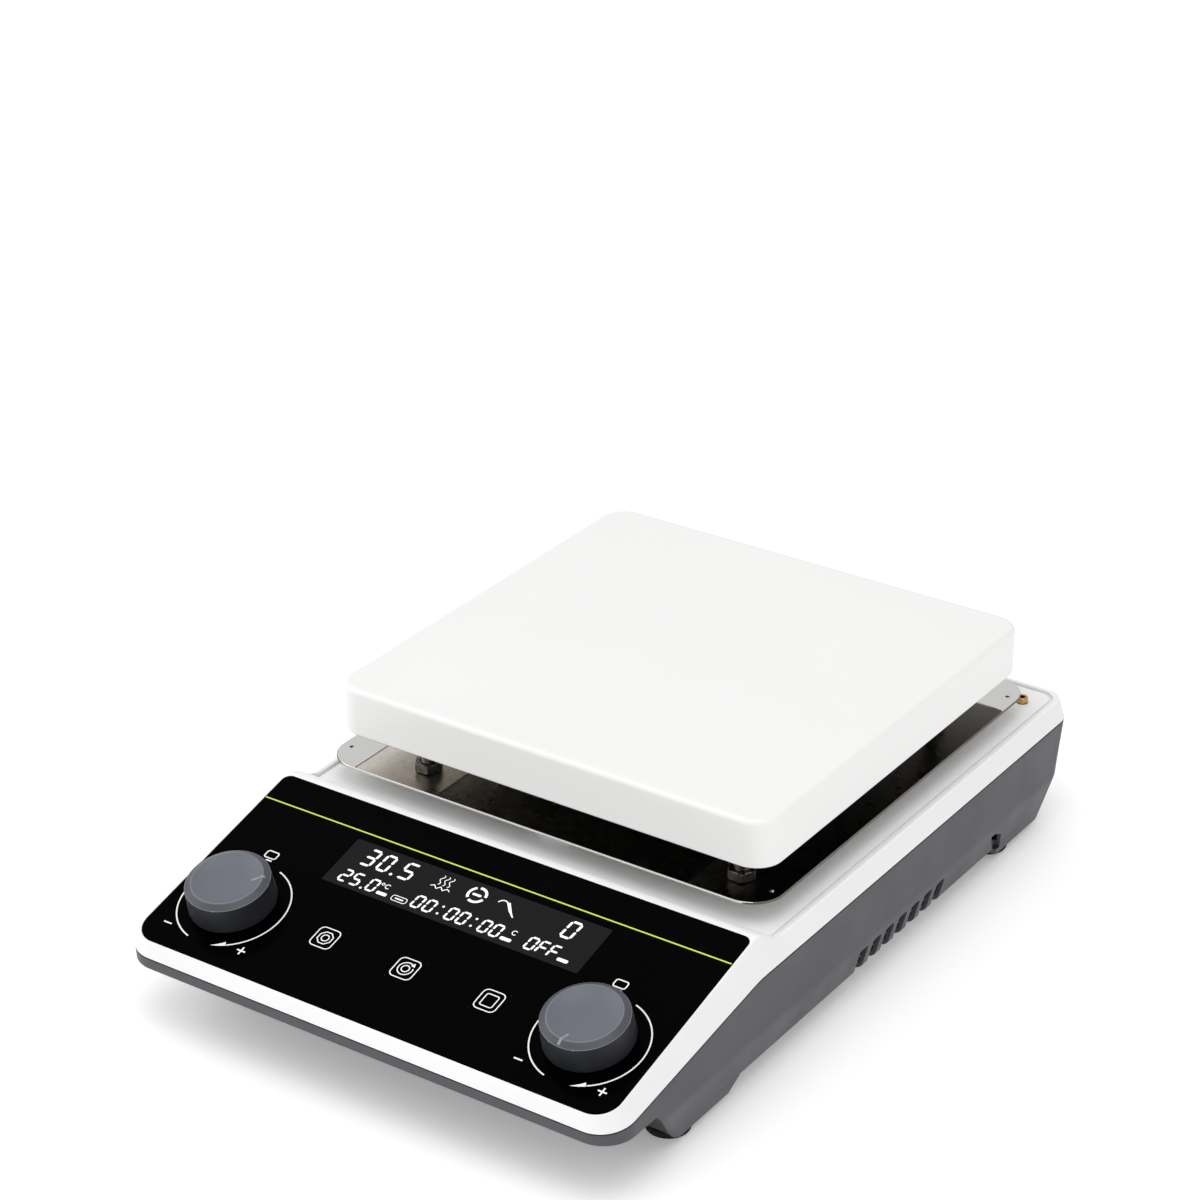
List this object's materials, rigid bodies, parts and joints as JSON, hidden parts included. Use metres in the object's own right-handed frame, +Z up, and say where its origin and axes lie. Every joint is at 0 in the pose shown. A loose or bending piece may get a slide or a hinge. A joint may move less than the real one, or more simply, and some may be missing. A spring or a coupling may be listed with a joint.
{
  "type": "hotplate stirrer",
  "caption": "Laboratory hotplate stirrer with a square white plate over a polished heat shield, sloped control panel with push-and-turn knobs, keys and display, grey base on rubber feet.",
  "frame": {"origin": "middle of the object's footprint, on the surface it stands on", "axes": "+X to the right when facing the control panel, +Y to the rear, +Z up"},
  "size_m": [0.2136, 0.325, 0.0932],
  "materials": {
    "case_white": "fine satin moulding",
    "case_grey": "fine texture moulding",
    "plate_white": "smooth satin ceramic coat on cast aluminium",
    "shield_steel": "mirror polished sheet",
    "panel_black": "gloss overlay",
    "window_black": "gloss display window",
    "knob_grey": "soft satin",
    "rubber_black": "matte",
    "brass": "turned",
    "board_green": "solder mask",
    "black_plastic": "satin moulding",
    "zinc": "zinc plated",
    "magnet": "nickel plated",
    "mica": "mica sheet",
    "wool": "ceramic fibre",
    "black_metal": "black heat-proof paint"
  },
  "bodies": {
    "root": {"top_case": "case_white", "bottom_case": "case_grey", "top_plate": "plate_white", "heat_shield": "shield_steel", "control_panel": "panel_black", "lcd_window": "window_black", "foot_front_left": "rubber_black", "foot_front_right": "rubber_black", "foot_rear_left": "rubber_black", "foot_rear_right": "rubber_black", "rod_socket": "brass", "display_board": "board_green", "main_board": "board_green", "lcd_module": "black_plastic", "key_switch_program": "black_plastic", "key_switch_reverse": "black_plastic", "key_switch_start": "black_plastic", "mains_inlet": "black_plastic", "power_switch_frame": "black_plastic", "left_encoder_body": "zinc", "right_encoder_body": "zinc", "left_encoder_nut": "zinc", "right_encoder_nut": "zinc", "plate_sensor": "zinc", "standoff_front_left": "zinc", "standoff_front_right": "zinc", "standoff_rear_left": "zinc", "standoff_rear_right": "zinc", "standoff_nut_front_left": "zinc", "standoff_nut_front_right": "zinc", "standoff_nut_rear_left": "zinc", "standoff_nut_rear_right": "zinc", "case_screw_front_left": "zinc", "case_screw_front_right": "zinc", "case_screw_rear_left": "zinc", "case_screw_rear_right": "zinc", "stirring_motor": "zinc", "motor_bracket": "zinc", "probe_socket": "zinc", "heating_element": "mica", "insulation_pad": "wool", "plate_bottom_cover": "black_metal"},
    "left_plunger": {"left_encoder_plunger": "black_plastic"},
    "left_knob": {"knob_left": "knob_grey", "left_encoder_shaft": "zinc"},
    "right_plunger": {"right_encoder_plunger": "black_plastic"},
    "right_knob": {"knob_right": "knob_grey", "right_encoder_shaft": "zinc"},
    "program_key": {"key_program": "panel_black"},
    "reverse_key": {"key_reverse": "panel_black"},
    "start_key": {"key_start": "panel_black"},
    "rotor": {"motor_shaft": "zinc", "magnet_yoke": "zinc", "magnet_left": "magnet", "magnet_right": "magnet"},
    "rocker": {"power_switch_rocker": "black_plastic"}
  },
  "joints": [
    {"name": "left_knob_push", "type": "slide", "parent": "root", "child": "left_plunger", "axis": [0, 0.2521, -0.9677], "range_m": [0, 0.0005], "stiffness_N_per_m": 4000, "springref_m": -0.0005},
    {"name": "left_knob_turn", "type": "hinge", "parent": "left_plunger", "child": "left_knob", "pos_m": [-0.0773, -0.13447, 0.04965], "axis": [0, -0.2521, 0.9677], "continuous": true},
    {"name": "right_knob_push", "type": "slide", "parent": "root", "child": "right_plunger", "axis": [0, 0.2521, -0.9677], "range_m": [0, 0.0005], "stiffness_N_per_m": 4000, "springref_m": -0.0005},
    {"name": "right_knob_turn", "type": "hinge", "parent": "right_plunger", "child": "right_knob", "pos_m": [0.0773, -0.13447, 0.04965], "axis": [0, -0.2521, 0.9677], "continuous": true},
    {"name": "program_key_press", "type": "slide", "parent": "root", "child": "program_key", "axis": [0, 0.2521, -0.9677], "range_m": [0, 0.0004], "stiffness_N_per_m": 5000, "springref_m": -0.0003},
    {"name": "reverse_key_press", "type": "slide", "parent": "root", "child": "reverse_key", "axis": [0, 0.2521, -0.9677], "range_m": [0, 0.0004], "stiffness_N_per_m": 5000, "springref_m": -0.0003},
    {"name": "start_key_press", "type": "slide", "parent": "root", "child": "start_key", "axis": [0, 0.2521, -0.9677], "range_m": [0, 0.0004], "stiffness_N_per_m": 5000, "springref_m": -0.0003},
    {"name": "stirrer_spin", "type": "hinge", "parent": "root", "child": "rotor", "pos_m": [0, 0.0441, 0.05], "axis": [0, 0, 1], "continuous": true},
    {"name": "power_switch_rock", "type": "hinge", "parent": "root", "child": "rocker", "pos_m": [0.022, 0.1555, 0.033], "axis": [1, 0, 0], "range_deg": [0, 14]}
  ]
}
